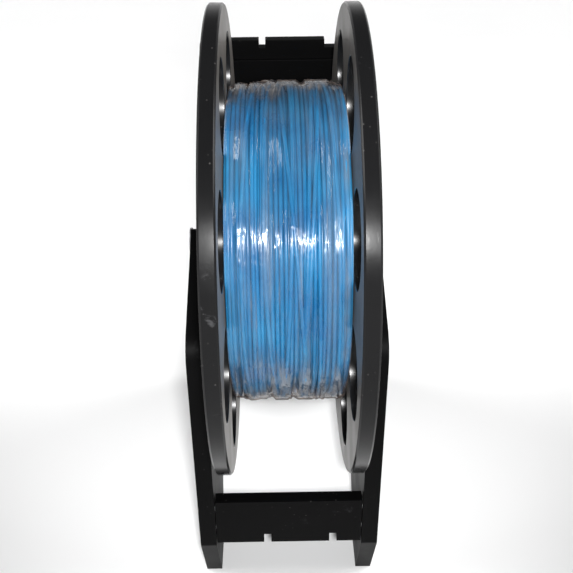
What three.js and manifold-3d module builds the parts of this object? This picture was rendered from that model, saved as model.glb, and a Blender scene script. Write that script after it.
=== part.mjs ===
// A spool of plastic line on its table stand: two pierced flanges bolted over a core tube, wound
// with line under clear film, turning on an axle that lies in two open saddles of the side plates.
// Millimetres, +Z up, +X along the axle. Origin on the table, under the middle of the footprint.
import * as THREE from 'three';
import { mergeVertices } from 'three/addons/utils/BufferGeometryUtils.js';
import Module from 'manifold-3d';

const wasm = await Module();
wasm.setup();

// ---- driving dimensions ----
const CLEARANCE = 0.3; // gap kept between any two touching pieces

// spool
const FLANGE_RADIUS = 100;
const FLANGE_INNER = 24.2; // inner face of a flange, from the spool's middle
const FLANGE_OUTER = 30.6; // outer face
const FLANGE_CHAMFER = 0.8;
const HOLE_COUNT = 8;
const HOLE_RADIUS = 18.5;
const HOLE_PITCH_RADIUS = 72;
const HOLE_PHASE = 29.5; // degrees, first hole above the forward direction
const CORE_RADIUS = 38;
const CORE_WALL = 3;
const CORE_SEAT = 1.5; // depth of the groove that seats the core tube in each flange
const PACK_RADIUS = 66.3;
const FILM_RADIUS = 68.2;
const FILM_THICKNESS = 1.2; // outer size of the crinkled film, not its gauge
const SPOOL_SHIFT = 0.8; // axial play taken up to the right

// fastenings of the spool
const BOLT_COUNT = 4;
const BOLT_PITCH_RADIUS = 26;
const BOLT_RADIUS = 2;
const BOLT_HEAD_RADIUS = 3.8;
const BOLT_HEAD_HEIGHT = 2.2;
const NUT_ACROSS_FLATS = 7;
const NUT_HEIGHT = 3.2;

// axle and bushes
const AXLE_RADIUS = 5;
const BUSH_RADIUS = 8;
const BUSH_HEAD_RADIUS = 11;
const BUSH_HEAD = 0.7;
const END_SCREW_HEAD_RADIUS = 6.5;
const END_SCREW_HEAD = 0.9;
const END_SCREW_RADIUS = 2;
const END_SCREW_LENGTH = 12;

// stand
const AXLE_HEIGHT = 160;
const AXLE_Y = -7.25; // the axle lies this far in front of the middle of the footprint
const PLATE_INNER = 32.75;
const PLATE_OUTER = 40;
const FRONT_EDGE = 61; // plate's front edge, forward of the axle
const REAR_EDGE = -114.5; // plate's rear edge
const BAR_THICKNESS = 6;
const FRONT_BAR_FACE = 60.5; // forward of the axle
const FRONT_BAR_TOP = -97.2; // below the axle
const FRONT_BAR_BOTTOM = -122.3;
const REAR_BAR_FACE = -107;
const REAR_BAR_TOP = 56.1;
const REAR_BAR_BOTTOM = 29.5;
const STIFFENER_THICKNESS = 2.7;
const STIFFENER_TOP = 46.7;
const STIFFENER_BOTTOM = 24;
const NOTCH_WIDTH = 3.3;
const NOTCH_DEPTH = 5;
const REAR_NOTCH_DEPTH = 3.9;
const NOTCH_LEFT = -9.6; // places of the bars' notches along X
const NOTCH_RIGHT = 19.9;
const REAR_STEP = 22; // from here to its right end the rear bar is lower by a notch's depth
const SCREW_RADIUS = 1.3;
const SCREW_HEAD_RADIUS = 2.6;
const SCREW_HEAD_HEIGHT = 1.5;
const SCREW_LENGTH = 25;

// ---- helpers ----
const RIGHT = 1;
const LEFT = -1;
const degrees = THREE.MathUtils.degToRad;

// A closed indexed geometry, turned inside out if its faces point inwards.
function closed(geometry) {
  geometry.deleteAttribute('normal');
  geometry.deleteAttribute('uv');
  const merged = mergeVertices(geometry, 1e-4);
  const position = merged.attributes.position;
  const corner = [new THREE.Vector3(), new THREE.Vector3(), new THREE.Vector3()];
  const kept = [];
  let volume = 0;
  for (let i = 0; i < merged.index.count; i += 3) {
    const triangle = [0, 1, 2].map((k) => merged.index.getX(i + k));
    if (new Set(triangle).size < 3) continue;
    triangle.forEach((vertex, k) => corner[k].fromBufferAttribute(position, vertex));
    volume += corner[0].dot(corner[1].clone().cross(corner[2]));
    kept.push(triangle);
  }
  if (volume < 0) kept.forEach((triangle) => triangle.reverse());
  merged.setIndex(kept.flat());
  return merged;
}

function solid(geometry) {
  const clean = closed(geometry);
  return new wasm.Manifold(new wasm.Mesh({
    numProp: 3,
    vertProperties: new Float32Array(clean.attributes.position.array),
    triVerts: new Uint32Array(clean.index.array),
  }));
}

function fromSolid(body) {
  const mesh = body.getMesh();
  const geometry = new THREE.BufferGeometry();
  geometry.setAttribute('position', new THREE.BufferAttribute(mesh.vertProperties, 3));
  geometry.setIndex(new THREE.BufferAttribute(mesh.triVerts, 1));
  return geometry;
}

// Body of revolution about X. The profile is a closed ring of [x, radius] points.
function revolved(profile, segments) {
  const points = [...profile, profile[0]].map(([x, radius]) => new THREE.Vector2(radius, x));
  return new THREE.LatheGeometry(points, segments).rotateZ(-Math.PI / 2);
}

// Round bar along X from x0 to x1.
function rod(radius, x0, x1, segments) {
  return new THREE.CylinderGeometry(radius, radius, x1 - x0, segments)
    .rotateZ(-Math.PI / 2)
    .translate((x0 + x1) / 2, 0, 0);
}

// Outline with rounded corners. Each corner is [x, y, rounding radius].
function roundedShape(corners) {
  const shape = new THREE.Shape();
  corners.forEach(([x, y, radius], i) => {
    const at = new THREE.Vector2(x, y);
    const before = new THREE.Vector2(...corners.at(i - 1)).sub(at).normalize();
    const after = new THREE.Vector2(...corners[(i + 1) % corners.length]).sub(at).normalize();
    const half = Math.acos(before.dot(after)) / 2;
    const start = at.clone().addScaledVector(before, radius / Math.tan(half));
    const end = at.clone().addScaledVector(after, radius / Math.tan(half));
    const middle = before.clone().add(after).normalize().multiplyScalar(radius / Math.sin(half)).add(at);
    const clockwise = before.cross(after) > 0;
    const from = start.clone().sub(middle).angle();
    const to = end.clone().sub(middle).angle();
    if (i === 0) shape.moveTo(start.x, start.y);
    else shape.lineTo(start.x, start.y);
    if (radius > 0) shape.absarc(middle.x, middle.y, radius, from, to, clockwise);
  });
  shape.closePath();
  return shape;
}

// Extrudes an outline drawn in (Y, Z) along X from x0 to x1.
function sheetAlongX(shape, x0, x1, curveSegments) {
  const turn = new THREE.Matrix4().makeBasis(
    new THREE.Vector3(0, 1, 0),
    new THREE.Vector3(0, 0, 1),
    new THREE.Vector3(1, 0, 0),
  );
  return new THREE.ExtrudeGeometry(shape, { depth: x1 - x0, bevelEnabled: false, curveSegments })
    .applyMatrix4(turn)
    .translate(x0, 0, 0);
}

// Extrudes an outline drawn in (X, Z) along Y from y0 back to y1.
function sheetAlongY(shape, y0, y1) {
  return new THREE.ExtrudeGeometry(shape, { depth: y1 - y0, bevelEnabled: false })
    .rotateX(Math.PI / 2)
    .translate(0, y1, 0);
}

// Place on the circle of a given radius about the axle, at an angle above the forward direction.
function onCircle(radius, angle) {
  return { y: -radius * Math.cos(degrees(angle)), z: radius * Math.sin(degrees(angle)) };
}

const material = {
  flange: new THREE.MeshStandardMaterial({ color: 0x17171a, roughness: 0.35, metalness: 0 }),
  plate: new THREE.MeshStandardMaterial({ color: 0x0f0f11, roughness: 0.55, metalness: 0 }),
  line: new THREE.MeshStandardMaterial({ color: 0x2f86c6, roughness: 0.3, metalness: 0 }),
  film: new THREE.MeshStandardMaterial({
    color: 0xcfe0ea, roughness: 0.1, metalness: 0, transparent: true, opacity: 0.25,
  }),
  core: new THREE.MeshStandardMaterial({ color: 0x2a2a2c, roughness: 0.6, metalness: 0 }),
  nylon: new THREE.MeshStandardMaterial({ color: 0xd9d4c4, roughness: 0.5, metalness: 0 }),
  steel: new THREE.MeshStandardMaterial({ color: 0x9a9da2, roughness: 0.3, metalness: 1 }),
  zinc: new THREE.MeshStandardMaterial({ color: 0x8b8d90, roughness: 0.4, metalness: 1 }),
};

const group = new THREE.Group();
const stand = new THREE.Group();
const axle = new THREE.Group();
const spool = new THREE.Group();
stand.position.set(0, AXLE_Y, AXLE_HEIGHT);
axle.position.copy(stand.position);
spool.position.set(SPOOL_SHIFT, AXLE_Y, AXLE_HEIGHT);
group.add(stand, axle, spool);

function add(parent, name, geometry, look) {
  const mesh = new THREE.Mesh(geometry, look);
  mesh.name = name;
  parent.add(mesh);
  return mesh;
}

// ---- spool ----
const boltPlaces = Array.from({ length: BOLT_COUNT }, (_, i) =>
  onCircle(BOLT_PITCH_RADIUS, HOLE_PHASE + 22.5 + (360 / BOLT_COUNT) * i));

// Pierced flange with chamfered rim, a groove that seats the core tube and a bore for the bush.
function flange(side) {
  const seatIn = CORE_RADIUS - CORE_WALL - CLEARANCE;
  const seatOut = CORE_RADIUS + CLEARANCE;
  const profile = [
    [FLANGE_INNER, BUSH_RADIUS + CLEARANCE],
    [FLANGE_INNER, seatIn],
    [FLANGE_INNER + CORE_SEAT, seatIn],
    [FLANGE_INNER + CORE_SEAT, seatOut],
    [FLANGE_INNER, seatOut],
    [FLANGE_INNER, FLANGE_RADIUS - FLANGE_CHAMFER],
    [FLANGE_INNER + FLANGE_CHAMFER, FLANGE_RADIUS],
    [FLANGE_OUTER - FLANGE_CHAMFER, FLANGE_RADIUS],
    [FLANGE_OUTER, FLANGE_RADIUS - FLANGE_CHAMFER],
    [FLANGE_OUTER, BUSH_RADIUS + CLEARANCE],
  ].map(([x, radius]) => [side * x, radius]);
  let body = solid(revolved(profile, 72));
  for (let i = 0; i < HOLE_COUNT; i += 1) {
    const { y, z } = onCircle(HOLE_PITCH_RADIUS, HOLE_PHASE + (360 / HOLE_COUNT) * i);
    body = body.subtract(solid(rod(HOLE_RADIUS, -50, 50, 24).translate(0, y, z)));
  }
  for (const { y, z } of boltPlaces) {
    body = body.subtract(solid(rod(BOLT_RADIUS + CLEARANCE, -50, 50, 12).translate(0, y, z)));
    const seat = side === LEFT ? boltHeadSeat() : nutSeat();
    body = body.subtract(solid(seat.translate(0, y, z)));
  }
  return fromSolid(body);
}

// Countersink for a bolt head in the left flange.
function boltHeadSeat() {
  const reach = 1; // past the outer face
  const mouth = BOLT_HEAD_RADIUS + CLEARANCE;
  const neck = BOLT_RADIUS + CLEARANCE;
  const slope = (mouth - neck) / BOLT_HEAD_HEIGHT;
  const height = BOLT_HEAD_HEIGHT + CLEARANCE + reach;
  return new THREE.CylinderGeometry(mouth + slope * reach, neck, height, 12)
    .rotateZ(Math.PI / 2)
    .translate(-FLANGE_OUTER - reach + height / 2, 0, 0);
}

// Hexagon pocket for a nut in the right flange.
function nutSeat() {
  const depth = NUT_HEIGHT + 2 * CLEARANCE;
  const reach = 1;
  const radius = (NUT_ACROSS_FLATS / 2 + CLEARANCE) / Math.cos(Math.PI / 6);
  return rod(radius, FLANGE_OUTER - depth, FLANGE_OUTER + reach, 6);
}

// Countersunk bolt along X: head at headX, shank running towards +X for a given length.
function countersunk(headX, headRadius, headHeight, radius, length, segments) {
  const cone = new THREE.CylinderGeometry(headRadius, radius, headHeight, segments)
    .rotateZ(Math.PI / 2)
    .translate(headX + headHeight / 2, 0, 0);
  const shank = rod(radius, headX + headHeight / 2, headX + length, segments);
  return fromSolid(solid(cone).add(solid(shank)));
}

function tieBolt() {
  const head = -FLANGE_OUTER + CLEARANCE / 2;
  const end = FLANGE_OUTER - CLEARANCE;
  return countersunk(head, BOLT_HEAD_RADIUS, BOLT_HEAD_HEIGHT, BOLT_RADIUS, end - head, 12);
}

function tieNut() {
  const nut = rod(NUT_ACROSS_FLATS / 2 / Math.cos(Math.PI / 6), 0, NUT_HEIGHT, 6);
  const bore = rod(BOLT_RADIUS + CLEARANCE, -1, NUT_HEIGHT + 1, 12);
  const body = solid(nut).subtract(solid(bore));
  return fromSolid(body).translate(FLANGE_OUTER - NUT_HEIGHT - CLEARANCE, 0, 0);
}

// Flanged bush: its head is the thrust face between flange and side plate.
function bush(side) {
  const head = FLANGE_OUTER + CLEARANCE;
  const profile = [
    [FLANGE_INNER, AXLE_RADIUS + CLEARANCE],
    [FLANGE_INNER, BUSH_RADIUS],
    [head, BUSH_RADIUS],
    [head, BUSH_HEAD_RADIUS],
    [head + BUSH_HEAD, BUSH_HEAD_RADIUS],
    [head + BUSH_HEAD, AXLE_RADIUS + CLEARANCE],
  ].map(([x, radius]) => [side * x, radius]);
  return fromSolid(solid(revolved(profile, 24)));
}

function coreTube() {
  const half = FLANGE_INNER + CORE_SEAT - CLEARANCE;
  const profile = [
    [-half, CORE_RADIUS - CORE_WALL],
    [-half, CORE_RADIUS],
    [half, CORE_RADIUS],
    [half, CORE_RADIUS - CORE_WALL],
  ];
  return fromSolid(solid(revolved(profile, 48)));
}

// Outer shape of the wound line: a ring with its outer edges rounded off.
function lineWinding() {
  const half = FLANGE_INNER - CLEARANCE;
  const profile = [
    [-half, CORE_RADIUS + CLEARANCE],
    [-half, PACK_RADIUS - 1.5],
    [-half + 1.5, PACK_RADIUS],
    [half - 1.5, PACK_RADIUS],
    [half, PACK_RADIUS - 1.5],
    [half, CORE_RADIUS + CLEARANCE],
  ];
  return fromSolid(solid(revolved(profile, 48)));
}

// Outer shape of the clear film around the wound line.
function filmWrap() {
  const half = FLANGE_INNER - CLEARANCE;
  const inner = FILM_RADIUS - FILM_THICKNESS;
  const profile = [
    [-half, inner],
    [-half, FILM_RADIUS],
    [half, FILM_RADIUS],
    [half, inner],
  ];
  return fromSolid(solid(revolved(profile, 48)));
}

add(spool, 'left_flange', flange(LEFT), material.flange);
add(spool, 'right_flange', flange(RIGHT), material.flange);
add(spool, 'core_tube', coreTube(), material.core);
add(spool, 'line_winding', lineWinding(), material.line);
add(spool, 'film_wrap', filmWrap(), material.film);
add(spool, 'left_bush', bush(LEFT), material.nylon);
add(spool, 'right_bush', bush(RIGHT), material.nylon);
boltPlaces.forEach(({ y, z }, i) => {
  add(spool, `tie_bolt_${i + 1}`, tieBolt(), material.zinc).position.set(0, y, z);
  add(spool, `tie_nut_${i + 1}`, tieNut(), material.zinc).position.set(0, y, z);
});

// ---- axle ----
function axleRod() {
  const half = PLATE_OUTER;
  const drilled = END_SCREW_LENGTH + CLEARANCE;
  let body = solid(rod(AXLE_RADIUS, -half, half, 32));
  body = body.subtract(solid(rod(END_SCREW_RADIUS + CLEARANCE, half - drilled, half + 1, 12)));
  body = body.subtract(solid(rod(END_SCREW_RADIUS + CLEARANCE, -half - 1, -half + drilled, 12)));
  return fromSolid(body);
}

// Low-headed screw in the end of the axle: its head keeps the axle between the side plates.
function axleEndScrew() {
  const head = PLATE_OUTER + CLEARANCE;
  const disc = rod(END_SCREW_HEAD_RADIUS, head, head + END_SCREW_HEAD, 24);
  const shank = rod(END_SCREW_RADIUS, head - END_SCREW_LENGTH, head + END_SCREW_HEAD / 2, 12);
  return fromSolid(solid(disc).add(solid(shank)));
}

add(axle, 'axle_rod', axleRod(), material.steel);
add(axle, 'right_axle_screw', axleEndScrew(), material.zinc);
add(axle, 'left_axle_screw', axleEndScrew(), material.zinc).rotation.z = Math.PI;

// ---- stand ----
const frontBarMiddle = FRONT_BAR_FACE - BAR_THICKNESS / 2;
const rearBarMiddle = REAR_BAR_FACE - BAR_THICKNESS / 2;
const barScrewPlaces = [
  { y: -frontBarMiddle, z: FRONT_BAR_TOP - 6, end: 'front_upper' },
  { y: -frontBarMiddle, z: FRONT_BAR_BOTTOM + 7.5, end: 'front_lower' },
  { y: -rearBarMiddle, z: REAR_BAR_TOP - 9, end: 'rear_upper' },
  { y: -rearBarMiddle, z: REAR_BAR_BOTTOM + 6, end: 'rear_lower' },
];

// Outline of a side plate as [forward, up, rounding] about the axle.
const plateCorners = [
  [6, 9.95, 2], // front cheek of the saddle
  [FRONT_EDGE, -14.3, 13],
  [FRONT_EDGE, -123.5, 3],
  [43.5, -AXLE_HEIGHT, 1], // front foot
  [25, -AXLE_HEIGHT, 2],
  [-10, -113.7, 12], // arch between the feet
  [-72, -113.7, 12],
  [-92, -AXLE_HEIGHT, 2], // rear foot
  [REAR_EDGE, -AXLE_HEIGHT, 2],
  [REAR_EDGE, 58.5, 4], // head of the rear arm
  [-93, 58.5, 5],
  [-20, -4.2, 5], // foot of the rear arm, behind the saddle
];

function sidePlate(side) {
  const outline = roundedShape(plateCorners.map(([forward, up, radius]) => [-forward, up, radius]));
  const x0 = side === RIGHT ? PLATE_INNER : -PLATE_OUTER;
  const x1 = side === RIGHT ? PLATE_OUTER : -PLATE_INNER;
  const saddle = AXLE_RADIUS + CLEARANCE;
  let body = solid(sheetAlongX(outline, x0, x1, 6));
  body = body.subtract(solid(rod(saddle, -50, 50, 32)));
  body = body.subtract(solid(new THREE.BoxGeometry(100, 2 * saddle, 30).translate(0, 0, 15)));
  for (const { y, z } of barScrewPlaces) {
    const hole = rod(SCREW_RADIUS + CLEARANCE, -50, 50, 12).translate(0, y, z);
    const sink = screwSink().rotateZ(side === RIGHT ? Math.PI : 0).translate(0, y, z);
    body = body.subtract(solid(hole)).subtract(solid(sink));
  }
  return fromSolid(body);
}

// Countersink for a bar screw in the left plate's outer face.
function screwSink() {
  const reach = 1;
  const mouth = SCREW_HEAD_RADIUS + CLEARANCE;
  const neck = SCREW_RADIUS + CLEARANCE;
  const slope = (mouth - neck) / SCREW_HEAD_HEIGHT;
  const height = SCREW_HEAD_HEIGHT + CLEARANCE + reach;
  return new THREE.CylinderGeometry(mouth + slope * reach, neck, height, 12)
    .rotateZ(Math.PI / 2)
    .translate(-PLATE_OUTER - reach + height / 2, 0, 0);
}

function barScrew() {
  const head = -PLATE_OUTER + CLEARANCE / 2;
  return countersunk(head, SCREW_HEAD_RADIUS, SCREW_HEAD_HEIGHT, SCREW_RADIUS, SCREW_LENGTH, 12);
}

// Board between the plates, drilled in its ends for the bar screws.
function drilledBar(corners, face, screwHeights) {
  let body = solid(sheetAlongY(roundedShape(corners), -face, -face + BAR_THICKNESS));
  const half = PLATE_INNER - CLEARANCE;
  const depth = SCREW_LENGTH - (PLATE_OUTER - PLATE_INNER) + 2;
  for (const z of screwHeights) {
    for (const side of [LEFT, RIGHT]) {
      const x0 = side === LEFT ? -half - 1 : half - depth;
      const bore = rod(SCREW_RADIUS + CLEARANCE, x0, x0 + depth + 1, 12);
      body = body.subtract(solid(bore.translate(0, -face + BAR_THICKNESS / 2, z)));
    }
  }
  return fromSolid(body);
}

const barHalf = PLATE_INNER - CLEARANCE;

// Corners of one notch, walked from left to right. Depth is negative for a notch from above.
function notchCorners(x, edge, depth) {
  return [
    [x - NOTCH_WIDTH / 2, edge, 0],
    [x - NOTCH_WIDTH / 2, edge + depth, 0],
    [x + NOTCH_WIDTH / 2, edge + depth, 0],
    [x + NOTCH_WIDTH / 2, edge, 0],
  ];
}

function frontCrossbar() {
  const corners = [
    [-barHalf, FRONT_BAR_BOTTOM, 0],
    ...notchCorners(NOTCH_LEFT, FRONT_BAR_BOTTOM, NOTCH_DEPTH),
    ...notchCorners(NOTCH_RIGHT, FRONT_BAR_BOTTOM, NOTCH_DEPTH),
    [barHalf, FRONT_BAR_BOTTOM, 0],
    [barHalf, FRONT_BAR_TOP, 0],
    [-barHalf, FRONT_BAR_TOP, 0],
  ];
  return drilledBar(corners, FRONT_BAR_FACE, [barScrewPlaces[0].z, barScrewPlaces[1].z]);
}

function rearCrossbar() {
  const notch = notchCorners(NOTCH_LEFT, REAR_BAR_TOP, -REAR_NOTCH_DEPTH).reverse();
  const corners = [
    [-barHalf, REAR_BAR_BOTTOM, 0],
    [barHalf, REAR_BAR_BOTTOM, 0],
    [barHalf, REAR_BAR_TOP - REAR_NOTCH_DEPTH, 0],
    [REAR_STEP, REAR_BAR_TOP - REAR_NOTCH_DEPTH, 0],
    [REAR_STEP, REAR_BAR_TOP, 0],
    ...notch,
    [-barHalf, REAR_BAR_TOP, 0],
  ];
  return drilledBar(corners, REAR_BAR_FACE, [barScrewPlaces[2].z, barScrewPlaces[3].z]);
}

// Thin board on the front of the rear crossbar.
function rearStiffener() {
  const corners = [
    [-barHalf, STIFFENER_BOTTOM, 0],
    [barHalf, STIFFENER_BOTTOM, 0],
    [barHalf, STIFFENER_TOP, 0],
    [-barHalf, STIFFENER_TOP, 0],
  ];
  const back = -REAR_BAR_FACE - CLEARANCE;
  return fromSolid(solid(sheetAlongY(roundedShape(corners), back - STIFFENER_THICKNESS, back)));
}

add(stand, 'left_side_plate', sidePlate(LEFT), material.plate);
add(stand, 'right_side_plate', sidePlate(RIGHT), material.plate);
add(stand, 'front_crossbar', frontCrossbar(), material.plate);
add(stand, 'rear_crossbar', rearCrossbar(), material.plate);
add(stand, 'rear_stiffener', rearStiffener(), material.plate);
for (const { y, z, end } of barScrewPlaces) {
  add(stand, `bar_screw_left_${end}`, barScrew(), material.zinc).position.set(0, y, z);
  const right = add(stand, `bar_screw_right_${end}`, barScrew(), material.zinc);
  right.position.set(0, y, z);
  right.rotation.z = Math.PI;
}

export default group;
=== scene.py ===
"""Looks of a spool of thick blue line on its table stand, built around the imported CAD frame."""
import math

import bmesh
import bpy
import numpy as np
from mathutils import Matrix, Vector
from mathutils.geometry import tessellate_polygon


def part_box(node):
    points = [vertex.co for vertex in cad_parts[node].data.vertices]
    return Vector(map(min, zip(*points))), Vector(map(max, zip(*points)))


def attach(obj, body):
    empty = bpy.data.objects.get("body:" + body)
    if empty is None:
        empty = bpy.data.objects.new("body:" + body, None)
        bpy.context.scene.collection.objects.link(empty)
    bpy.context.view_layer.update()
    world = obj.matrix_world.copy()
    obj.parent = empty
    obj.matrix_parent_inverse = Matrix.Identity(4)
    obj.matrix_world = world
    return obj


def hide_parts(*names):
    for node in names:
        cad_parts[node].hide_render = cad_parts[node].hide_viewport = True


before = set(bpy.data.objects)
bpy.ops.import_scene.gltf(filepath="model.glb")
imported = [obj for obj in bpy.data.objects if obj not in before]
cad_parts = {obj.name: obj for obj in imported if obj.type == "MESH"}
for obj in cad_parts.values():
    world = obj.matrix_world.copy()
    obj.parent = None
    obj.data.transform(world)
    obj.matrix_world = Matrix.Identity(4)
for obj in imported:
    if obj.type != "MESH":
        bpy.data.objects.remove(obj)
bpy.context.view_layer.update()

MM = 0.001
SEED = 7

# ---- places, all from the frame ----
flange_low, flange_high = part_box("right_flange")
left_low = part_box("left_flange")[0]
pack_low, pack_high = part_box("line_winding")
film_low, film_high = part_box("film_wrap")
core_low, core_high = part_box("core_tube")
FLANGE_R = (flange_high.z - flange_low.z) / 2
AXIS_Y = (flange_low.y + flange_high.y) / 2
AXIS_Z = (flange_low.z + flange_high.z) / 2
SPOOL_X = (left_low.x + flange_high.x) / 2
INNER = flange_low.x - SPOOL_X  # inner face of a flange, from the spool's middle
OUTER = flange_high.x - SPOOL_X
PACK_R = (pack_high.z - pack_low.z) / 2
PACK_HALF = (pack_high.x - pack_low.x) / 2
FILM_R = (film_high.z - film_low.z) / 2
CORE_R = (core_high.z - core_low.z) / 2
STAND_X = (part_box("left_side_plate")[0].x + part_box("right_side_plate")[1].x) / 2
STAND_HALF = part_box("right_side_plate")[1].x - STAND_X

# ---- camera: on the spool's middle, raised, with the spool above the picture's centre ----
SENSOR = 36.0
FOCAL_SHARE = 1.5649  # focal length over picture width
CAMERA_DISTANCE = 3.933 * FLANGE_R
CAMERA_LIFT = math.radians(29.5)
CAMERA_SIDE = -0.0415 * FLANGE_R
AIM_BELOW = 0.0506  # radians from the spool's middle down to the optical axis
AIM_RIGHT = 0.0096
CAMERA_ROLL = -0.0142


def make_camera():
    camera = bpy.data.objects.new("camera", bpy.data.cameras.new("camera"))
    bpy.context.scene.collection.objects.link(camera)
    camera.data.sensor_width = SENSOR
    camera.data.lens = FOCAL_SHARE * SENSOR
    camera.data.clip_start, camera.data.clip_end = 0.01, 50
    back = Vector((0, -math.cos(CAMERA_LIFT), math.sin(CAMERA_LIFT)))
    camera.location = Vector((SPOOL_X + CAMERA_SIDE, AXIS_Y, AXIS_Z)) + back * CAMERA_DISTANCE
    ahead = Vector((math.sin(AIM_RIGHT), math.cos(AIM_RIGHT) * math.cos(AIM_BELOW), -math.sin(AIM_BELOW)))
    across = Vector((math.cos(AIM_RIGHT), -math.sin(AIM_RIGHT), 0))
    up = across.cross(ahead)
    tilt = Matrix.Rotation(-CAMERA_LIFT, 3, "X")
    ahead, across, up = tilt @ ahead, tilt @ across, tilt @ up
    right = across * math.cos(CAMERA_ROLL) + up * math.sin(CAMERA_ROLL)
    upright = up * math.cos(CAMERA_ROLL) - across * math.sin(CAMERA_ROLL)
    camera.rotation_euler = Matrix((right, upright, -ahead)).transposed().to_euler()
    bpy.context.scene.camera = camera


make_camera()


# ---- mesh helpers ----
def add_mesh(name, vertices, faces, material, smooth=35):
    mesh = bpy.data.meshes.new(name)
    mesh.from_pydata([tuple(map(float, v)) for v in vertices], [], [tuple(map(int, f)) for f in faces])
    mesh.validate()
    obj = bpy.data.objects.new(name, mesh)
    bpy.context.scene.collection.objects.link(obj)
    mesh.materials.append(material)
    mesh.shade_smooth()
    mesh.set_sharp_from_angle(angle=math.radians(smooth))
    return obj


def flat_normals(obj):
    """Keeps large flat faces flat beside their rounded edges."""
    weighted = obj.modifiers.new("flat", "WEIGHTED_NORMAL")
    weighted.keep_sharp = True
    weighted.weight = 100
    return obj


def place(obj, body, slot, *nodes):
    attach(obj, body)
    if nodes:
        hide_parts(*nodes)
    return obj


def around_axis(x, radius, angle):
    """Point on a circle about the axle. The angle starts forward and rises."""
    return (SPOOL_X + x, AXIS_Y - radius * math.cos(angle), AXIS_Z + radius * math.sin(angle))


def turned(name, profile, material, segments=96, centre=(0, 0)):
    """Body of revolution about X. The profile is a closed ring of (x, radius)."""
    count = len(profile)
    vertices, faces = [], []
    for s in range(segments):
        angle = 2 * math.pi * s / segments
        for x, radius in profile:
            vertices.append((x, centre[0] - radius * math.cos(angle), centre[1] + radius * math.sin(angle)))
    for s in range(segments):
        n = (s + 1) % segments
        for i in range(count):
            j = (i + 1) % count
            faces.append((s * count + i, s * count + j, n * count + j, n * count + i))
    obj = add_mesh(name, vertices, faces, material)
    outwards(obj)
    return obj


def outwards(obj):
    made = bmesh.new()
    made.from_mesh(obj.data)
    bmesh.ops.remove_doubles(made, verts=made.verts, dist=1e-7)
    bmesh.ops.recalc_face_normals(made, faces=made.faces)
    made.to_mesh(obj.data)
    made.free()


# ---- material helpers ----
def new_material(name):
    material = bpy.data.materials.new(name)
    material.use_nodes = True
    nodes = material.node_tree.nodes
    nodes.clear()
    output = nodes.new("ShaderNodeOutputMaterial")
    shader = nodes.new("ShaderNodeBsdfPrincipled")
    material.node_tree.links.new(shader.outputs[0], output.inputs["Surface"])
    return material, shader


class Nodes:
    """Short calls for the nodes of one material."""

    def __init__(self, material):
        self.tree = material.node_tree
        self.place = self.node("ShaderNodeTexCoord").outputs["Object"]

    def node(self, kind, **settings):
        made = self.tree.nodes.new(kind)
        for key, value in settings.items():
            setattr(made, key, value)
        return made

    def link(self, source, target):
        self.tree.links.new(source, target)

    def feed(self, socket, value):
        if isinstance(value, bpy.types.NodeSocket):
            self.link(value, socket)
        else:
            socket.default_value = value

    def stretch(self, x, y, z):
        mapping = self.node("ShaderNodeMapping")
        self.link(self.place, mapping.inputs["Vector"])
        mapping.inputs["Scale"].default_value = (x, y, z)
        return mapping.outputs[0]

    def noise(self, scale, detail=4, roughness=0.55, vector=None, distortion=0):
        made = self.node("ShaderNodeTexNoise")
        self.link(vector or self.place, made.inputs["Vector"])
        made.inputs["Scale"].default_value = scale
        made.inputs["Detail"].default_value = detail
        made.inputs["Roughness"].default_value = roughness
        made.inputs["Distortion"].default_value = distortion
        return made.outputs["Fac"]

    def dots(self, scale):
        made = self.node("ShaderNodeTexVoronoi", feature="F1")
        self.link(self.place, made.inputs["Vector"])
        made.inputs["Scale"].default_value = scale
        return made.outputs["Distance"]

    def remap(self, value, low, high, to_low=0.0, to_high=1.0):
        made = self.node("ShaderNodeMapRange", clamp=True)
        self.feed(made.inputs["Value"], value)
        made.inputs["From Min"].default_value = low
        made.inputs["From Max"].default_value = high
        made.inputs["To Min"].default_value = to_low
        made.inputs["To Max"].default_value = to_high
        return made.outputs["Result"]

    def math(self, kind, a, b=0.0):
        made = self.node("ShaderNodeMath", operation=kind)
        self.feed(made.inputs[0], a)
        self.feed(made.inputs[1], b)
        return made.outputs[0]

    def times(self, first, *others):
        """Product of two or more values."""
        for other in others:
            first = self.math("MULTIPLY", first, other)
        return first

    def mix(self, factor, a, b):
        made = self.node("ShaderNodeMix", data_type="RGBA")
        self.feed(made.inputs["Factor"], factor)
        self.feed(made.inputs["A"], a)
        self.feed(made.inputs["B"], b)
        return made.outputs["Result"]

    def bump(self, height, strength, distance):
        made = self.node("ShaderNodeBump")
        self.link(height, made.inputs["Height"])
        made.inputs["Strength"].default_value = strength
        made.inputs["Distance"].default_value = distance
        return made.outputs["Normal"]

    def axle_offset(self):
        offset = self.node("ShaderNodeVectorMath", operation="SUBTRACT")
        self.link(self.place, offset.inputs[0])
        offset.inputs[1].default_value = (0, AXIS_Y, AXIS_Z)
        return offset

    def along(self, x, y, z):
        """Distance from the axle's middle along a direction."""
        dot = self.node("ShaderNodeVectorMath", operation="DOT_PRODUCT")
        self.link(self.axle_offset().outputs[0], dot.inputs[0])
        dot.inputs[1].default_value = (x, y, z)
        return dot.outputs["Value"]

    def from_axle(self, low, high):
        """0 up to the radius low from the axle, 1 from the radius high."""
        offset = self.axle_offset()
        flat = self.node("ShaderNodeVectorMath", operation="MULTIPLY")
        self.link(offset.outputs[0], flat.inputs[0])
        flat.inputs[1].default_value = (0, 1, 1)
        length = self.node("ShaderNodeVectorMath", operation="LENGTH")
        self.link(flat.outputs[0], length.inputs[0])
        return self.remap(length.outputs["Value"], low, high)


def rgb(red, green, blue):
    return (red, green, blue, 1.0)


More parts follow.
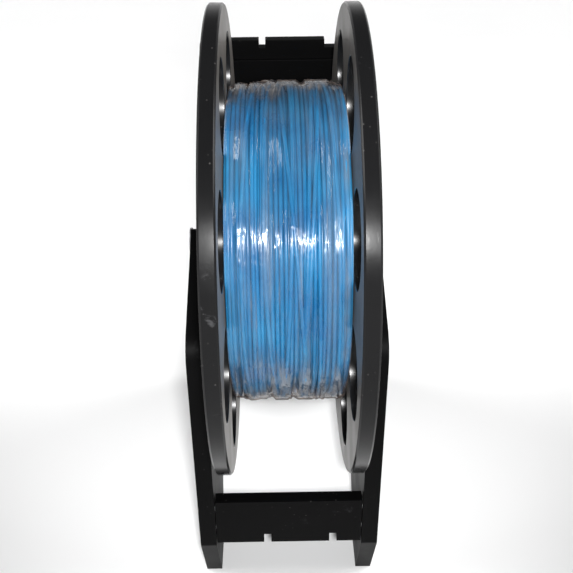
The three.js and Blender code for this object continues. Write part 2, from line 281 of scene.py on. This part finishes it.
def black_board(name, base, light, rough, grain, sheen, scuffs, dust, bloom=0.0, outer=0.0):
    """Black sheet material: fine grain, faint clouding, thin scuffs and dust specks.

    bloom adds a dusty sheen to the faces across X and polishes the hole walls of the flanges; outer is
    the distance from the stand's middle at which a face across X shows handling marks.
    """
    material, shader = new_material(name)
    n = Nodes(material)
    cloud = n.remap(n.noise(14, 4), 0.25, 0.8)
    fine = n.noise(grain, 6, 0.7)
    long_scuff = n.remap(n.noise(170, 6, 0.7, n.stretch(1.0, 0.22, 1.3), 0.6), 0.60, 0.70)
    rub = n.remap(n.noise(34, 3), 0.56, 0.72)
    marks = n.times(long_scuff, rub, scuffs)
    speck = n.remap(n.dots(330), 0.0, 0.13, 1.0, 0.0)
    speck = n.times(speck, n.remap(n.noise(26, 4), 0.5, 0.68), dust)
    colour = n.mix(cloud, rgb(*base), rgb(*light))
    colour = n.mix(marks, colour, rgb(0.055, 0.055, 0.058))
    colour = n.mix(speck, colour, rgb(0.22, 0.21, 0.20))
    roughness = n.remap(n.noise(45, 5), 0.3, 0.7, rough - 0.04, rough + 0.05)
    roughness = n.math("ADD", roughness, n.times(marks, 0.3))
    height = n.math("ADD", n.times(fine, 0.6), n.times(long_scuff, -0.5))
    n.link(n.bump(height, 0.15, 0.0001), shader.inputs["Normal"])
    shader.inputs["Specular IOR Level"].default_value = sheen
    facing_x = n.node("ShaderNodeSeparateXYZ")
    n.link(n.node("ShaderNodeNewGeometry").outputs["Normal"], facing_x.inputs[0])
    face = n.remap(n.math("ABSOLUTE", facing_x.outputs["X"]), 0.8, 0.95)
    if outer:
        place_x = n.node("ShaderNodeSeparateXYZ")
        n.link(n.place, place_x.inputs[0])
        away = n.math("ABSOLUTE", n.math("SUBTRACT", place_x.outputs["X"], STAND_X))
        handled = n.times(n.remap(away, outer - 0.6 * MM, outer - 0.1 * MM), face)
        smear = n.remap(n.noise(46, 6, 0.7, n.stretch(1.0, 1.0, 0.5)), 0.3, 0.7, 0.6, 1.0)
        strokes = n.remap(n.noise(240, 5, 0.7, n.stretch(1.0, 0.3, 0.8), 1.2), 0.62, 0.76)
        strokes = n.times(strokes, n.remap(n.noise(18, 3), 0.5, 0.7))
        colour = n.mix(n.times(handled, smear), colour, rgb(0.012, 0.012, 0.0125))
        colour = n.mix(n.times(handled, strokes, 0.45), colour, rgb(0.09, 0.09, 0.093))
        gloss = n.times(handled, smear, 0.4)
        n.link(gloss, shader.inputs["Coat Weight"])
        shader.inputs["Coat Roughness"].default_value = rough
    if bloom:
        patchy = n.remap(n.noise(60, 5, 0.65), 0.3, 0.7, 0.55, 1.0)
        rim = n.from_axle(FLANGE_R - 5 * MM, FLANGE_R - 3 * MM)
        hole_wall = n.remap(n.math("SUBTRACT", n.math("SUBTRACT", 1.0, rim), face), 0, 1)
        roughness = n.math("ADD", roughness, n.times(face, 0.16))
        n.link(hole_wall, shader.inputs["Coat Weight"])
        shader.inputs["Coat Roughness"].default_value = 0.2
        n.link(n.times(face, patchy, bloom), shader.inputs["Sheen Weight"])
        shader.inputs["Sheen Roughness"].default_value = 0.35
        shader.inputs["Sheen Tint"].default_value = rgb(1.0, 0.92, 0.84)
    n.link(colour, shader.inputs["Base Color"])
    n.link(roughness, shader.inputs["Roughness"])
    return material


def line_material():
    """Glossy extruded blue plastic, slightly uneven along each strand."""
    material, shader = new_material("line_blue")
    n = Nodes(material)
    along = n.noise(55, 4, 0.5)
    patch = n.remap(n.noise(14, 3), 0.35, 0.7)
    colour = n.mix(n.remap(along, 0.35, 0.7), rgb(0.006, 0.13, 0.33), rgb(0.022, 0.25, 0.50))
    colour = n.mix(n.times(patch, 0.25), colour, rgb(0.05, 0.29, 0.52))
    n.link(colour, shader.inputs["Base Color"])
    n.link(n.remap(along, 0.3, 0.7, 0.24, 0.38), shader.inputs["Roughness"])
    n.link(n.bump(n.noise(700, 3), 0.12, 0.0001), shader.inputs["Normal"])
    shader.inputs["Subsurface Weight"].default_value = 0.15
    shader.inputs["Subsurface Radius"].default_value = (0.4, 0.7, 1.0)
    shader.inputs["Subsurface Scale"].default_value = 0.001
    return material


# the film is slack at two opposite places of the turn, on a line that leans back from upright
SLACK_LEAN = math.radians(29.5)


def film_material():
    """Thin clear film: bright gloss on its creases over a streaky haze, frosted grey where it is slack
    and brownish seen edge-on; the haze colour carries painted shade, darker where the film is seen at a
    slant."""
    material, shader = new_material("film_clear")
    n = Nodes(material)
    wide = n.remap(n.noise(60, 3, 0.55, n.stretch(1.8, 0.16, 0.16)), 0.44, 0.66)
    thin = n.remap(n.noise(420, 4, 0.6, n.stretch(1.5, 0.05, 0.05)), 0.50, 0.72)
    patch = n.remap(n.noise(20, 4, 0.6, n.stretch(1.0, 0.6, 0.6)), 0.36, 0.62, 0.4, 1.0)
    haze = n.times(n.math("MAXIMUM", n.times(wide, 0.62), n.times(thin, 0.7)), patch)
    place_x = n.node("ShaderNodeSeparateXYZ")
    n.link(n.place, place_x.inputs[0])
    uneven = n.remap(n.noise(38, 4), 0.38, 0.74)
    folds = ((PACK_HALF - 2.3 * MM, 2.6 * MM, 0.75), (3.6 * MM - PACK_HALF, 3.4 * MM, 0.3))
    for middle, reach, strength in folds:
        gap = n.math("ABSOLUTE", n.math("SUBTRACT", place_x.outputs["X"], SPOOL_X + middle))
        fold = n.times(n.remap(gap, 0.2 * reach, reach, strength, 0.0), uneven)
        haze = n.math("MAXIMUM", haze, fold)
    edge_on = n.node("ShaderNodeLayerWeight")
    edge_on.inputs["Blend"].default_value = 0.5
    side = n.remap(edge_on.outputs["Facing"], 0.56, 0.86)
    plain = n.math("SUBTRACT", 1.0, side)
    # painted shade: the haze colour darkens where the film is seen at a slant, standing in for the flash
    # light falling off there
    painted_shade = n.remap(edge_on.outputs["Facing"], 0.1, 0.55)
    veil_with_painted_shade = n.mix(painted_shade, rgb(0.37, 0.41, 0.45), rgb(0.13, 0.145, 0.165))
    colour = n.mix(haze, rgb(0.02, 0.10, 0.19), veil_with_painted_shade)
    brown = n.mix(n.remap(n.noise(300, 4), 0.43, 0.6), rgb(0.05, 0.052, 0.06), rgb(0.23, 0.175, 0.145))
    from_middle = n.math("ABSOLUTE", n.along(0, math.sin(SLACK_LEAN), math.cos(SLACK_LEAN)))
    slack = n.remap(from_middle, 0.5 * FILM_R, 0.88 * FILM_R)
    streaks = n.remap(n.noise(150, 5, 0.65, n.stretch(1.7, 0.22, 0.22)), 0.38, 0.62, 0.1, 0.95)
    frost = n.times(slack, streaks)
    colour = n.mix(frost, colour, rgb(0.062, 0.074, 0.092))
    n.link(n.mix(side, colour, brown), shader.inputs["Base Color"])
    shader.inputs["IOR"].default_value = 1.6
    n.link(n.times(plain, 0.5), shader.inputs["Specular IOR Level"])
    n.link(n.remap(haze, 0.0, 1.0, 0.24, 0.34), shader.inputs["Roughness"])
    buckles = n.noise(330, 1, 0.4, n.stretch(1.0, 0.6, 0.6), 0.5)
    wrinkles = n.noise(820, 2, 0.5, n.stretch(1.0, 0.14, 0.14), 0.3)
    height = n.math("ADD", n.times(buckles, 0.48), n.times(wrinkles, 0.62))
    crinkle = n.bump(height, 0.8, 0.00066)
    n.link(crinkle, shader.inputs["Normal"])
    n.link(crinkle, shader.inputs["Coat Normal"])
    off_middle = n.math("ABSOLUTE", n.math("SUBTRACT", place_x.outputs["X"], SPOOL_X))
    inboard = n.remap(off_middle, PACK_HALF - 3 * MM, PACK_HALF - 1 * MM, 1.0, 0.4)
    coat = n.math("ADD", n.times(plain, 0.85), 0.15)
    n.link(n.times(coat, inboard), shader.inputs["Coat Weight"])
    shader.inputs["Coat Roughness"].default_value = 0.06
    shader.inputs["Coat IOR"].default_value = 1.8
    clear = n.node("ShaderNodeBsdfTransparent")
    clear.inputs["Color"].default_value = rgb(0.99, 0.99, 0.99)
    amount = n.remap(haze, 0.0, 1.0, 0.16, 0.78)
    amount = n.math("MAXIMUM", amount, n.times(frost, 0.9))
    amount = n.math("MAXIMUM", amount, n.times(side, 0.9))
    both = n.node("ShaderNodeMixShader")
    n.link(amount, both.inputs["Fac"])
    n.link(clear.outputs[0], both.inputs[1])
    n.link(shader.outputs[0], both.inputs[2])
    output = next(o for o in material.node_tree.nodes if o.type == "OUTPUT_MATERIAL")
    n.link(both.outputs[0], output.inputs["Surface"])
    return material


def metal_material(name, colour, rough):
    """Plated or drawn steel with turning marks and dull patches."""
    material, shader = new_material(name)
    n = Nodes(material)
    lines = n.noise(900, 3, 0.6, n.stretch(0.15, 1, 1))
    patch = n.remap(n.noise(120, 5), 0.35, 0.7)
    n.link(n.mix(patch, rgb(*colour), rgb(*[c * 0.7 for c in colour])), shader.inputs["Base Color"])
    n.link(n.remap(patch, 0, 1, rough, rough + 0.18), shader.inputs["Roughness"])
    n.link(n.bump(lines, 0.15, 0.00005), shader.inputs["Normal"])
    shader.inputs["Metallic"].default_value = 1.0
    return material


def nylon_material():
    """Pale moulded nylon, slightly mottled."""
    material, shader = new_material("bush_nylon")
    n = Nodes(material)
    patch = n.remap(n.noise(90, 4), 0.35, 0.7)
    n.link(n.mix(patch, rgb(0.74, 0.71, 0.62), rgb(0.62, 0.58, 0.48)), shader.inputs["Base Color"])
    n.link(n.remap(patch, 0, 1, 0.42, 0.58), shader.inputs["Roughness"])
    n.link(n.bump(n.noise(1400, 3), 0.15, 0.00005), shader.inputs["Normal"])
    shader.inputs["Subsurface Weight"].default_value = 0.1
    shader.inputs["Subsurface Scale"].default_value = 0.001
    return material


FLANGE = black_board(
    "flange_black", base=(0.004, 0.004, 0.0043), light=(0.007, 0.007, 0.0074), rough=0.21, grain=900,
    sheen=0.18, scuffs=0.9, dust=0.6, bloom=0.05)
STAND = black_board(
    "stand_black", base=(0.0018, 0.0018, 0.0019), light=(0.0026, 0.0026, 0.0027), rough=0.46, grain=1300,
    sheen=0.04, scuffs=0.5, dust=0.3, outer=STAND_HALF)
CORE = black_board(
    "core_black", base=(0.008, 0.008, 0.008), light=(0.012, 0.012, 0.012), rough=0.6, grain=700,
    sheen=0.2, scuffs=0.2, dust=0.2)
LINE = line_material()
FILM = film_material()
STEEL = metal_material("axle_steel", (0.5, 0.51, 0.53), 0.22)
ZINC = metal_material("zinc_plate", (0.42, 0.43, 0.44), 0.3)
NYLON = nylon_material()


# ---- wound line ----
STRAND = 1.75 * MM
LAYER_RISE = 0.87 * STRAND  # a layer that lies in the grooves of the one below is this much higher
STRAND_SIDES = 8
TURN_STEPS = 120
TURNS = int(2 * PACK_HALF / STRAND)
CROSSING_TURNS = 7


def smooth_noise(rng, count, waves):
    """Periodic smooth noise round one turn, about -1 to 1."""
    angle = np.linspace(0, 2 * math.pi, count, endpoint=False)
    total = np.zeros(count)
    for k in range(1, waves + 1):
        total += rng.normal() / k**0.7 * np.cos(k * angle + rng.uniform(0, 2 * math.pi))
    return total / 1.6


def pile_strands():
    """Centre lines of the two outer layers, as (x, radius) arrays over the angle for each turn."""
    rng = np.random.default_rng(SEED)
    half = PACK_HALF - STRAND / 2
    rows = [-half + 2 * half * i / (TURNS - 1) for i in range(TURNS)]
    step = rows[1] - rows[0]
    base_r = PACK_R - STRAND / 2 - LAYER_RISE
    under = [(np.full(TURN_STEPS, x), np.full(TURN_STEPS, base_r)) for x in rows]
    paths = []
    for i in rng.permutation(TURNS - 1):
        paths.append(rows[i] + step / 2 + smooth_noise(rng, TURN_STEPS, 4) * STRAND * rng.uniform(0.08, 0.4))
    angle = np.linspace(0, 2 * math.pi, TURN_STEPS, endpoint=False)
    for _ in range(CROSSING_TURNS):
        sweep = rng.uniform(0.1, 0.26) * half
        middle = rng.uniform(-half + sweep, half - sweep)
        swing = sweep * np.sin(angle + rng.uniform(0, 6.28))
        paths.append(middle + swing + 0.1 * sweep * smooth_noise(rng, TURN_STEPS, 4))
    upper = []
    kernel = np.hanning(11)[1:-1]
    kernel /= kernel.sum()
    for x in paths:
        x = np.clip(x, -half, half)
        radius = np.full(TURN_STEPS, base_r)
        for other_x, other_r in under + upper:
            gap = np.abs(x - other_x)
            touch = other_r + np.sqrt(np.maximum(STRAND**2 - gap**2, 0))
            radius = np.where(gap < STRAND, np.maximum(radius, touch), radius)
        radius = np.minimum(radius, base_r + 2.05 * STRAND)
        padded = np.concatenate([radius[-4:], radius, radius[:4]])
        upper.append((x, np.convolve(padded, kernel, "valid")))
    return under, upper


def strand_mesh(name, turns):
    """One mesh of closed tubes, one for each turn."""
    vertices, faces = [], []
    for x, radius in turns:
        start = len(vertices)
        for s in range(TURN_STEPS):
            angle = 2 * math.pi * s / TURN_STEPS
            for k in range(STRAND_SIDES):
                turn = 2 * math.pi * k / STRAND_SIDES
                vertices.append(around_axis(
                    x[s] + STRAND / 2 * math.cos(turn), radius[s] + STRAND / 2 * math.sin(turn), angle))
        for s in range(TURN_STEPS):
            n = (s + 1) % TURN_STEPS
            for k in range(STRAND_SIDES):
                m = (k + 1) % STRAND_SIDES
                faces.append([start + a * STRAND_SIDES + b for a, b in ((s, k), (n, k), (n, m), (s, m))])
    obj = add_mesh(name, vertices, faces, LINE, 180)
    outwards(obj)
    return obj


def winding_bulk():
    """The buried layers: a ring whose two sides show the strands' ends lying in rows."""
    first = CORE_R + 0.4 * MM + STRAND / 2
    last = PACK_R - 2.24 * STRAND
    rows = int((last - first) / LAYER_RISE) + 1
    side = []
    for i in range(rows):
        middle = first + (last - first) * i / (rows - 1)
        shift = 0.45 * STRAND if i % 2 else 0.0
        for k in range(5):
            turn = math.radians(-60 + 30 * k)
            side.append((PACK_HALF - shift - STRAND / 2 + STRAND / 2 * math.cos(turn),
                         middle + STRAND / 2 * math.sin(turn)))
    inner = CORE_R + 0.3 * MM
    profile = [(SPOOL_X + side[0][0], inner)] + [(SPOOL_X + x, r) for x, r in side]
    mirrored = [(2 * SPOOL_X - x, r) for x, r in reversed(profile)]
    return turned("line_bulk", profile + mirrored, LINE, 120, (AXIS_Y, AXIS_Z))


under, upper = pile_strands()
place(winding_bulk(), "spool", "line", "line_winding")
for name, turns in (("line_under_layer", under), ("line_outer_layer", upper)):
    place(strand_mesh(name, turns), "spool", "line")


# ---- film round the pack ----
FILM_STEPS = 480
FILM_COLUMNS = 160
FILM_CREASES = 150
FILM_RIPPLES = 18
FILM_PLEATS = 26  # at each of the two slack places
LUMP_WIDTHS = (8.3 * MM, 5.1 * MM)


def film_wrap():
    """Creased clear film pulled over the strands, its sides tucked down beside the flanges."""
    rng = np.random.default_rng(SEED + 1)
    half = PACK_HALF - 0.15 * MM
    x = np.linspace(-half, half, FILM_COLUMNS)
    angle = np.linspace(0, 2 * math.pi, FILM_STEPS, endpoint=False)
    support = np.full((FILM_STEPS, FILM_COLUMNS), PACK_R - STRAND)
    turn_angle = np.linspace(0, 2 * math.pi, TURN_STEPS, endpoint=False)
    for strand_x, strand_r in upper:
        sx = np.interp(angle, turn_angle, strand_x, period=2 * math.pi)
        sr = np.interp(angle, turn_angle, strand_r, period=2 * math.pi)
        gap = np.abs(x[None, :] - sx[:, None])
        top = sr[:, None] + np.sqrt(np.maximum((STRAND / 2) ** 2 - gap**2, 0))
        support = np.where(gap < STRAND / 2, np.maximum(support, top), support)
    bridge = 7  # columns that the taut film spans either side of a strand
    padded = np.pad(support, ((0, 0), (bridge, bridge)), mode="edge")
    support = np.max([padded[:, k:k + FILM_COLUMNS] for k in range(2 * bridge + 1)], axis=0)
    for axis, size in ((1, 11), (0, 13), (1, 7)):
        kernel = np.hanning(size + 2)[1:-1]
        kernel /= kernel.sum()
        width = size // 2
        pad = ((width, width), (0, 0)) if axis == 0 else ((0, 0), (width, width))
        spread = np.pad(support, pad, mode="wrap" if axis == 0 else "edge")
        support = np.apply_along_axis(lambda row: np.convolve(row, kernel, "valid"), axis, spread)

    def turn_from(start):
        """Signed angle from start to each step of the turn."""
        return (angle - start + math.pi) % (2 * math.pi) - math.pi

    def near(middle, reach):
        """1 at the angle middle, fading to 0 at reach to either side, both in degrees."""
        return (np.clip(1 - (turn_from(math.radians(middle)) / math.radians(reach)) ** 2, 0, 1) ** 2)[:, None]

    creases = np.zeros_like(support)
    for _ in range(FILM_CREASES):
        start, run = rng.uniform(0, 2 * math.pi), rng.uniform(0.15, 1.3)
        across = rng.uniform(-half, half) + rng.normal() * 0.004 * turn_from(start)
        along = np.clip(1 - np.abs(turn_from(start)) / run, 0, 1) ** 0.6
        ridge = np.clip(1 - np.abs(x[None, :] - across[:, None]) / rng.uniform(0.5 * MM, 1.8 * MM), 0, 1)
        creases = np.maximum(creases, rng.uniform(0.03, 0.13) * MM * along[:, None] * ridge)
    ripple = np.zeros_like(support)
    for _ in range(FILM_RIPPLES):
        height = rng.normal() / 6
        around = rng.integers(8, 34) * angle[:, None]
        ripple += height * np.cos(around + rng.uniform(40, 260) * x[None, :] + rng.uniform(0, 6.28))
    lumps = 0.5 + 0.28 * np.cos(2 * math.pi * x[None, :] / LUMP_WIDTHS[0] + 2.5 * angle[:, None])
    lumps = lumps + 0.22 * np.cos(2 * math.pi * x[None, :] / LUMP_WIDTHS[1] - 3.5 * angle[:, None])
    loose = near(112, 42) * np.clip((x[None, :] + 4 * MM) / (4 * MM), 0, 1) * (0.75 + 0.5 * lumps)
    loose = loose + near(-55, 34) * (0.35 + 0.7 * lumps)
    pleats = np.zeros_like(support)
    for middle in (104, -48):
        for _ in range(FILM_PLEATS):
            across = rng.uniform(-half, half) + rng.normal() * 0.008 * turn_from(math.radians(middle))
            ridge = np.clip(1 - np.abs(x[None, :] - across[:, None]) / rng.uniform(0.5 * MM, 1.1 * MM), 0, 1)
            at = middle + rng.uniform(-10, 14)
            pleats = np.maximum(pleats, rng.uniform(0.3, 1.0) * MM * near(at, rng.uniform(10, 24)) * ridge)
    radius = support + 0.08 * MM + creases + 0.11 * MM * ripple + 0.9 * MM * loose + pleats
    edge = np.clip((np.abs(x) - (half - 1.1 * MM)) / (1.1 * MM), 0, 1)
    radius -= (edge**2 * 1.3 * MM)[None, :]
    radius = np.minimum(radius, FILM_R + 0.8 * MM)
    vertices = []
    for a in range(FILM_STEPS):
        for c in range(FILM_COLUMNS):
            vertices.append(around_axis(x[c], radius[a, c], angle[a]))
    faces = []
    for a in range(FILM_STEPS):
        n = (a + 1) % FILM_STEPS
        for c in range(FILM_COLUMNS - 1):
            faces.append((a * FILM_COLUMNS + c, a * FILM_COLUMNS + c + 1,
                          n * FILM_COLUMNS + c + 1, n * FILM_COLUMNS + c))
    return add_mesh("clear_film", vertices, faces, FILM, 180)


film = place(film_wrap(), "spool", "film", "film_wrap")


# ---- flanges ----
HOLES = 8
HOLE_R = 18.5 * MM
HOLE_PITCH = 72 * MM
HOLE_PHASE = math.radians(29.5)
BOLT_PITCH = 26 * MM
BOLTS = [HOLE_PHASE + math.radians(22.5 + 90 * i) for i in range(4)]
EASE = 0.35 * MM
CHAMFER = 0.8 * MM
SOFT = 0.04 * MM  # how far a chamfer's edge is rounded off
BUSH_BORE_R = 8.3 * MM
BOLT_HOLE_R = 2.3 * MM
SINK_R, SINK_DEPTH = 4.15 * MM, 2.5 * MM
NUT_CORNER_R, NUT_DEPTH = 4.39 * MM, 3.8 * MM
POCKET_RINGS = 2  # rings of a bolt hole that take the nut pocket's hexagon
RIM_STEPS = 288


def circle(radius, count, corners=0):
    """Ring of offsets from a centre: a circle, or a polygon drawn with the same number of points."""
    points = []
    for i in range(count):
        angle = 2 * math.pi * i / count
        reach = radius
        if corners:
            wedge = 2 * math.pi / corners
            reach = radius * math.cos(wedge / 2) / math.cos((angle % wedge) - wedge / 2)
        points.append((reach * math.cos(angle), reach * math.sin(angle)))
    return points


def eased_hole(radius, face_in, face_out):
    """Rings of (ring radius, x) through a plate, both mouths slightly rounded."""
    rings = []
    for k in range(4):
        turn = math.pi / 2 * k / 3
        rings.append((radius + EASE * (1 - math.sin(turn)), face_out - EASE * (1 - math.cos(turn))))
    for k in range(4):
        turn = math.pi / 2 * (3 - k) / 3
        rings.append((radius + EASE * (1 - math.sin(turn)), face_in + EASE * (1 - math.cos(turn))))
    return rings


def flange(name, side, bolt_rings, bolt_corners):
    """Pierced disc: flat faces between its loops, and a wall of rings on each loop."""
    vertices, faces = [], []
    loops = []

    def wall(centre, rings, count, corners=0):
        first = len(vertices)
        for index, (radius, x) in enumerate(rings):
            polygon = corners if index < POCKET_RINGS else 0
            for a, b in circle(radius, count, polygon):
                vertices.append((SPOOL_X + side * x, centre[0] + a, centre[1] + b))
        for r in range(len(rings) - 1):
            for i in range(count):
                j = (i + 1) % count
                faces.append((first + r * count + i, first + r * count + j,
                              first + (r + 1) * count + j, first + (r + 1) * count + i))
        last = first + (len(rings) - 1) * count
        loops.append(([first + i for i in range(count)], [last + i for i in range(count)]))

    rim = [
        (FLANGE_R - CHAMFER, OUTER), (FLANGE_R - CHAMFER * 0.85, OUTER - SOFT),
        (FLANGE_R - SOFT, OUTER - CHAMFER * 0.85), (FLANGE_R, OUTER - CHAMFER),
        (FLANGE_R, INNER + CHAMFER), (FLANGE_R - SOFT, INNER + CHAMFER * 0.85),
        (FLANGE_R - CHAMFER * 0.85, INNER + SOFT), (FLANGE_R - CHAMFER, INNER),
    ]
    middle = (AXIS_Y, AXIS_Z)
    wall(middle, rim, RIM_STEPS)
    wall(middle, eased_hole(BUSH_BORE_R, INNER, OUTER), 48)
    for i in range(HOLES):
        angle = HOLE_PHASE + 2 * math.pi * i / HOLES
        centre = (AXIS_Y - HOLE_PITCH * math.cos(angle), AXIS_Z + HOLE_PITCH * math.sin(angle))
        wall(centre, eased_hole(HOLE_R, INNER, OUTER), 72)
    for angle in BOLTS:
        centre = (AXIS_Y - BOLT_PITCH * math.cos(angle), AXIS_Z + BOLT_PITCH * math.sin(angle))
        wall(centre, bolt_rings, 24, bolt_corners)
    for which in (0, 1):
        rings = [loop[which] for loop in loops]
        flat = [[Vector((vertices[i][1], vertices[i][2], 0)) for i in ring] for ring in rings]
        order = [i for ring in rings for i in ring]
        for triangle in tessellate_polygon(flat):
            faces.append(tuple(order[i] for i in triangle))
    obj = add_mesh(name, vertices, faces, FLANGE, 40)
    outwards(obj)
    obj.data.set_sharp_from_angle(angle=math.radians(40))
    return flat_normals(obj)


bolt_sink = [(SINK_R, OUTER), (BOLT_HOLE_R, OUTER - SINK_DEPTH), (BOLT_HOLE_R, INNER)]
nut_pocket = [(NUT_CORNER_R, OUTER), (NUT_CORNER_R, OUTER - NUT_DEPTH), (BOLT_HOLE_R, OUTER - NUT_DEPTH),
              (BOLT_HOLE_R, INNER)]
place(flange("flange_left_smooth", -1, bolt_sink, 0), "spool", "flange_plastic", "left_flange")
place(flange("flange_right_smooth", 1, nut_pocket, 6), "spool", "flange_plastic", "right_flange")


# ---- plates and boards: the CAD shape with softened edges ----
def softened(node, name, width, material):
    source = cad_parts[node]
    mesh = source.data.copy()
    mesh.name = name
    obj = bpy.data.objects.new(name, mesh)
    bpy.context.scene.collection.objects.link(obj)
    made = bmesh.new()
    made.from_mesh(mesh)
    bmesh.ops.remove_doubles(made, verts=made.verts, dist=1e-6)
    bmesh.ops.dissolve_limit(made, angle_limit=math.radians(0.5), verts=made.verts, edges=made.edges)
    made.to_mesh(mesh)
    made.free()
    mesh.materials.clear()
    mesh.materials.append(material)
    mesh.shade_smooth()
    bevel = obj.modifiers.new("soft_edge", "BEVEL")
    bevel.width = width
    bevel.segments = 3
    bevel.limit_method = "ANGLE"
    bevel.angle_limit = math.radians(30)
    bevel.use_clamp_overlap = True
    bevel.harden_normals = False
    flat_normals(obj)
    return obj


BOARDS = ("left_side_plate", "right_side_plate", "front_crossbar", "rear_crossbar", "rear_stiffener")
for node in BOARDS:
    ease = 0.45 * MM if "plate" in node else 0.25 * MM
    place(softened(node, node + "_board", ease, STAND), "stand", "stand_board", node)

for node, slot, material, ease in (
        ("core_tube", "core_plastic", CORE, 0.2), ("axle_rod", "axle_steel", STEEL, 0.3),
        ("left_bush", "bush_nylon", NYLON, 0.15), ("right_bush", "bush_nylon", NYLON, 0.15)):
    body = "axle" if node == "axle_rod" else "spool"
    place(softened(node, node + "_smooth", ease * MM, material), body, slot, node)
for i in range(4):
    nut = softened(f"tie_nut_{i + 1}", f"nut_{i + 1}_smooth", 0.25 * MM, ZINC)
    place(nut, "spool", "zinc_fastener", f"tie_nut_{i + 1}")


# ---- screws and bolts, with a cross recess in the head ----
def recess(y, z, size):
    """Depth of a cross recess at a point of the head's face."""
    arm, slot_half = 0.56 * size, 0.13 * size
    y, z = abs(y), abs(z)
    inside = max(min(slot_half - y, arm - z), min(slot_half - z, arm - y))
    step = min(max(inside / (0.05 * size), 0), 1)
    return step * (0.42 * size * (1 - 0.7 * math.hypot(y, z) / arm))


def screw(node, side, head, neck, shank, flat_head=False):
    """Screw along X, its head at the low (side -1) or high (side 1) end of the node's box."""
    low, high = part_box(node)
    centre = ((low.y + high.y) / 2, (low.z + high.z) / 2)
    face, tip = (low.x, high.x) if side < 0 else (high.x, low.x)
    lip = 0.12 * MM
    under = [(neck, head), (neck + 0.02 * MM, shank)] if flat_head else [(lip * 2, head), (neck, shank)]
    length = abs(face - tip)
    rings = [(length, 0.0), (length, 0.6 * shank), (length - 0.5 * shank, shank)] + under[::-1]
    rings += [(lip, head), (lip * 0.3, head - lip * 0.3), (0.0, head - lip)]
    segments, steps = 48, 18
    spin = (centre[0] * 911 + centre[1] * 517) % 1.57
    vertices, faces = [], []
    for depth, radius in rings + [(0.0, (head - lip) * (1 - k / steps)) for k in range(1, steps + 1)]:
        for i in range(segments):
            angle = 2 * math.pi * i / segments
            y, z = radius * math.cos(angle), radius * math.sin(angle)
            sunk = 0.0
            if depth == 0.0:
                turn_y = y * math.cos(spin) + z * math.sin(spin)
                turn_z = z * math.cos(spin) - y * math.sin(spin)
                sunk = recess(turn_y, turn_z, min(head, 3.6 * MM))
            vertices.append((face - side * (depth + sunk), centre[0] + y, centre[1] + z))
    for r in range(len(rings) + steps - 1):
        for i in range(segments):
            j = (i + 1) % segments
            faces.append((r * segments + i, r * segments + j, (r + 1) * segments + j, (r + 1) * segments + i))
    obj = add_mesh(node + "_detail", vertices, faces, ZINC, 30)
    outwards(obj)
    obj.data.set_sharp_from_angle(angle=math.radians(30))
    return obj


for i in range(4):
    bolt = screw(f"tie_bolt_{i + 1}", -1, 3.8 * MM, 2.2 * MM, 2 * MM)
    place(bolt, "spool", "zinc_fastener", f"tie_bolt_{i + 1}")
for side_name, side in (("left", -1), ("right", 1)):
    node = f"{side_name}_axle_screw"
    place(screw(node, side, 6.5 * MM, 0.9 * MM, 2 * MM, True), "axle", "zinc_fastener", node)
    for spot_name in ("front_upper", "front_lower", "rear_upper", "rear_lower"):
        node = f"bar_screw_{side_name}_{spot_name}"
        place(screw(node, side, 2.6 * MM, 1.5 * MM, 1.3 * MM), "stand", "zinc_fastener", node)


# ---- floor, light ----
HORIZON_LIGHT = 0.75
OVERHEAD_LIGHT = 0.09


def stage_and_light():
    """Pale floor, a sky that is bright low down, a soft sun on each side and a flash beside the camera."""
    material, shader = new_material("floor_pale")
    n = Nodes(material)
    tone = n.remap(n.noise(3, 3), 0.3, 0.7)
    n.link(n.mix(tone, rgb(0.93, 0.93, 0.93), rgb(0.96, 0.96, 0.96)), shader.inputs["Base Color"])
    shader.inputs["Roughness"].default_value = 0.8
    size = 6.0
    floor = add_mesh("floor", [(-size, -size, 0), (size, -size, 0), (size, size, 0), (-size, size, 0)],
                     [(0, 1, 2, 3)], material)
    world = bpy.data.worlds.new("studio")
    bpy.context.scene.world = world
    world.use_nodes = True
    sky = world.node_tree
    background = sky.nodes["Background"]
    background.inputs["Color"].default_value = rgb(1, 1, 1)
    place_in = sky.nodes.new("ShaderNodeTexCoord")
    parts = sky.nodes.new("ShaderNodeSeparateXYZ")
    fade = sky.nodes.new("ShaderNodeMapRange")
    fade.inputs["From Min"].default_value, fade.inputs["From Max"].default_value = 0.02, 0.4
    fade.inputs["To Min"].default_value = HORIZON_LIGHT
    fade.inputs["To Max"].default_value = OVERHEAD_LIGHT
    sky.links.new(place_in.outputs["Generated"], parts.inputs[0])
    sky.links.new(parts.outputs["Z"], fade.inputs["Value"])
    sky.links.new(fade.outputs["Result"], background.inputs["Strength"])
    bpy.context.scene.view_settings.view_transform = "Standard"

    def spot(name, place_at, aim, radius, cone, power):
        lamp = bpy.data.lights.new(name, "SPOT")
        lamp.energy = power
        lamp.shadow_soft_size = radius
        lamp.spot_size = math.radians(cone)
        lamp.spot_blend = 0.8
        obj = bpy.data.objects.new(name, lamp)
        bpy.context.scene.collection.objects.link(obj)
        obj.location = place_at
        obj.rotation_euler = (Vector(aim) - Vector(place_at)).to_track_quat("-Z", "Y").to_euler()

    def sun(name, towards, spread, strength):
        lamp = bpy.data.lights.new(name, "SUN")
        lamp.energy = strength
        lamp.angle = math.radians(spread)
        obj = bpy.data.objects.new(name, lamp)
        bpy.context.scene.collection.objects.link(obj)
        obj.rotation_euler = Vector(towards).to_track_quat("-Z", "Y").to_euler()

    middle = Vector((SPOOL_X, AXIS_Y, AXIS_Z))
    sun("left", (1.5, -0.1, -1.1), spread=45, strength=2.45)
    sun("right", (-1.5, -0.1, -1.1), spread=45, strength=2.45)
    back = Vector((0, -math.cos(CAMERA_LIFT), math.sin(CAMERA_LIFT)))
    flash = middle + back * (CAMERA_DISTANCE + 30 * MM) + Vector((10 * MM, 0, 0))
    spot("front", flash, middle, radius=15 * MM, cone=60, power=9.4)


stage_and_light()
